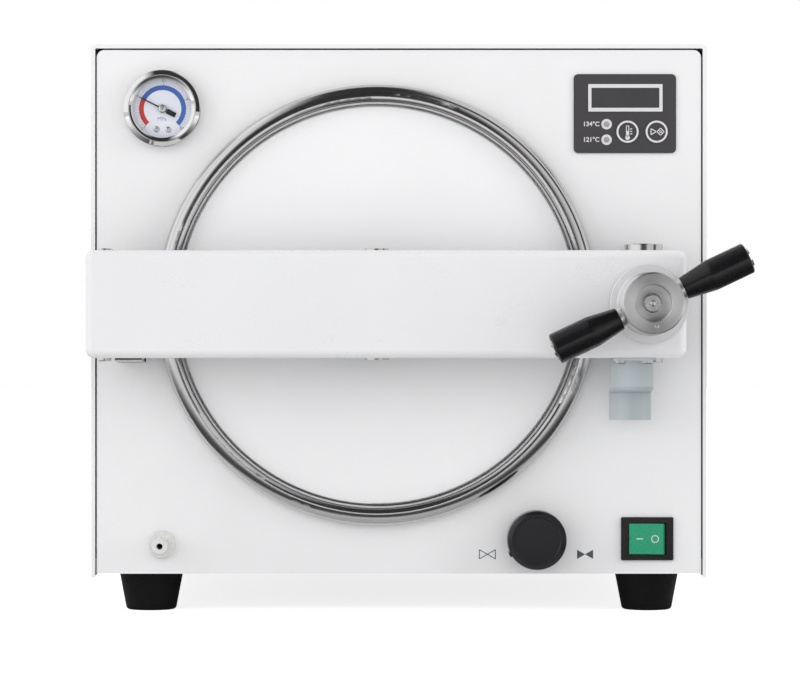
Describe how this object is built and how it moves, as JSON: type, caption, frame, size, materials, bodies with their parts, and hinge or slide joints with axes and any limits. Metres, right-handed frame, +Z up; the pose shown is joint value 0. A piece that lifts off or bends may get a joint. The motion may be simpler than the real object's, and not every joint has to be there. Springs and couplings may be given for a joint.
{
  "type": "dental autoclave",
  "caption": "Bench-top dental steam autoclave with a round chamber, a hinged door beam with a screw clamp, gauge, keypad, valve knob and green power rocker.",
  "frame": {"origin": "on the bench, level with the feet's soles, under the middle of the casing", "axes": "+Z up; -Y out of the front, towards the user; +X to the user's right, where the clamp is"},
  "size_m": [0.4223, 0.5926, 0.369],
  "materials": {
    "white_paint": "satin powder coat",
    "white_enamel": "smooth gloss enamel",
    "lid_white": "smooth satin",
    "galvanised_sheet": "zinc-coated sheet",
    "zinc_plate": "bluish zinc plating",
    "zinc_screws": "zinc-plated",
    "polished_steel": "polished",
    "bright_steel": "ground and polished",
    "screw_steel": "turned",
    "stainless": "satin stainless",
    "dark_steel": "primed steel",
    "heater_metal": "dull sheet round a mica core",
    "insulation_felt": "needled fibre",
    "black_rubber": "matte",
    "silicone": "translucent grey-white",
    "turned_aluminium": "fine turned",
    "black_grip": "glossy black",
    "dial_white": "matte print",
    "clear_glass": "clear",
    "pointer_black": "matte black",
    "copper_pipe": "drawn tube",
    "fascia_grey": "printed film",
    "window_black": "clear dark window",
    "lamp_red": "small lens",
    "key_grey": "satin",
    "circuit_green": "solder mask",
    "switch_silver": "metallised",
    "rocker_green": "gloss",
    "valve_brass": "machined",
    "knob_black": "satin black",
    "nozzle_white": "satin",
    "inlet_black": "matte"
  },
  "bodies": {
    "casing": {"chassis_base": "galvanised_sheet", "feet": "black_rubber", "foot_screws": "zinc_screws", "wrap_cover": "white_paint", "cover_screws": "zinc_screws", "front_panel": "white_paint", "rear_panel": "white_paint", "chamber_shell": "stainless", "chamber_head": "stainless", "door_ring": "polished_steel", "yoke_plate": "dark_steel", "chamber_cradles": "galvanised_sheet", "heater_band": "heater_metal", "insulation_jacket": "insulation_felt", "hinge_bracket": "bright_steel", "latch_bracket": "bright_steel", "gauge_case": "polished_steel", "gauge_dial": "dial_white", "gauge_glass": "clear_glass", "gauge_pipe": "copper_pipe", "control_fascia": "fascia_grey", "display_window": "window_black", "indicator_lamps": "lamp_red", "control_board": "circuit_green", "switch_body": "switch_silver", "steam_valve": "valve_brass", "steam_pipes": "copper_pipe", "drain_nozzle": "nozzle_white", "safety_valve": "valve_brass", "power_inlet": "inlet_black", "thermal_cutout": "inlet_black", "transformer": "dark_steel", "tray_rack": "stainless"},
    "door": {"door_beam": "white_enamel", "lid_plate": "lid_white", "lid_dish": "stainless", "lid_gasket": "silicone", "lid_boss": "dark_steel", "lid_pin": "bright_steel", "stop_plate": "zinc_plate", "stop_plate_screws": "zinc_screws", "hinge_pin": "bright_steel"},
    "carriage": {"thrust_washer": "bright_steel"},
    "handle": {"clamp_screw": "screw_steel", "screw_clip": "dark_steel", "handle_hub": "turned_aluminium", "grip_spindles": "screw_steel"},
    "right_grip": {"grip_right": "black_grip"},
    "left_grip": {"grip_left": "black_grip"},
    "latch": {"latch_trunnion": "bright_steel", "trunnion_clips": "dark_steel"},
    "pointer": {"gauge_pointer": "pointer_black"},
    "temperature_key": {"key_temperature": "key_grey"},
    "start_key": {"key_start": "key_grey"},
    "power_rocker": {"switch_rocker": "rocker_green"},
    "steam_knob": {"valve_knob": "knob_black"},
    "safety_pull": {"safety_valve_pull": "screw_steel"},
    "lower_tray": {"tray_lower": "stainless"},
    "middle_tray": {"tray_middle": "stainless"},
    "upper_tray": {"tray_upper": "stainless"}
  },
  "joints": [
    {"name": "door_swing", "type": "hinge", "parent": "casing", "child": "door", "pos_m": [-0.187, -0.2675, 0.1995], "axis": [0, 0, -1], "range_deg": [0, 110]},
    {"name": "handle_travel", "type": "slide", "parent": "door", "child": "carriage", "axis": [0, -1, 0], "range_m": [0, 0.0121]},
    {"name": "handle_turn", "type": "hinge", "parent": "carriage", "child": "handle", "pos_m": [0.158, -0.3045, 0.1995], "axis": [0, -1, 0], "range_deg": [0, 1440]},
    {"name": "right_grip_spin", "type": "hinge", "parent": "handle", "child": "right_grip", "pos_m": [0.158, -0.3045, 0.1995], "axis": [0.9033, 0, 0.4289], "continuous": true},
    {"name": "left_grip_spin", "type": "hinge", "parent": "handle", "child": "left_grip", "pos_m": [0.158, -0.3045, 0.1995], "axis": [-0.9033, 0, -0.4289], "continuous": true},
    {"name": "latch_pivot", "type": "hinge", "parent": "casing", "child": "latch", "pos_m": [0.158, -0.2355, 0.1995], "axis": [0, 0, 1], "range_deg": [-3, 3]},
    {"name": "pressure_pointer", "type": "hinge", "parent": "casing", "child": "pointer", "pos_m": [-0.1535, -0.2245, 0.327], "axis": [0, 1, 0], "range_deg": [-72, 198], "stiffness_Nm_per_rad": 0.003},
    {"name": "temperature_press", "type": "slide", "parent": "casing", "child": "temperature_key", "axis": [0, 1, 0], "range_m": [0, 0.0005], "stiffness_N_per_m": 800},
    {"name": "start_press", "type": "slide", "parent": "casing", "child": "start_key", "axis": [0, 1, 0], "range_m": [0, 0.0005], "stiffness_N_per_m": 800},
    {"name": "power_rock", "type": "hinge", "parent": "casing", "child": "power_rocker", "pos_m": [0.1613, -0.2185, 0.0478], "axis": [0, 0, 1], "range_deg": [0, 14]},
    {"name": "steam_valve_turn", "type": "hinge", "parent": "casing", "child": "steam_knob", "pos_m": [0.089, -0.2255, 0.0478], "axis": [0, 1, 0], "range_deg": [0, 236]},
    {"name": "safety_lift", "type": "slide", "parent": "casing", "child": "safety_pull", "axis": [0, 1, 0], "range_m": [0, 0.003], "stiffness_N_per_m": 2000},
    {"name": "lower_tray_slide", "type": "slide", "parent": "casing", "child": "lower_tray", "axis": [0, -1, 0], "range_m": [0, 0.008]},
    {"name": "middle_tray_slide", "type": "slide", "parent": "casing", "child": "middle_tray", "axis": [0, -1, 0], "range_m": [0, 0.008]},
    {"name": "upper_tray_slide", "type": "slide", "parent": "casing", "child": "upper_tray", "axis": [0, -1, 0], "range_m": [0, 0.008]}
  ],
  "couplings": [
    {"joint": "handle_travel", "follows": "handle_turn", "m_per_rad": 0.00047746}
  ]
}
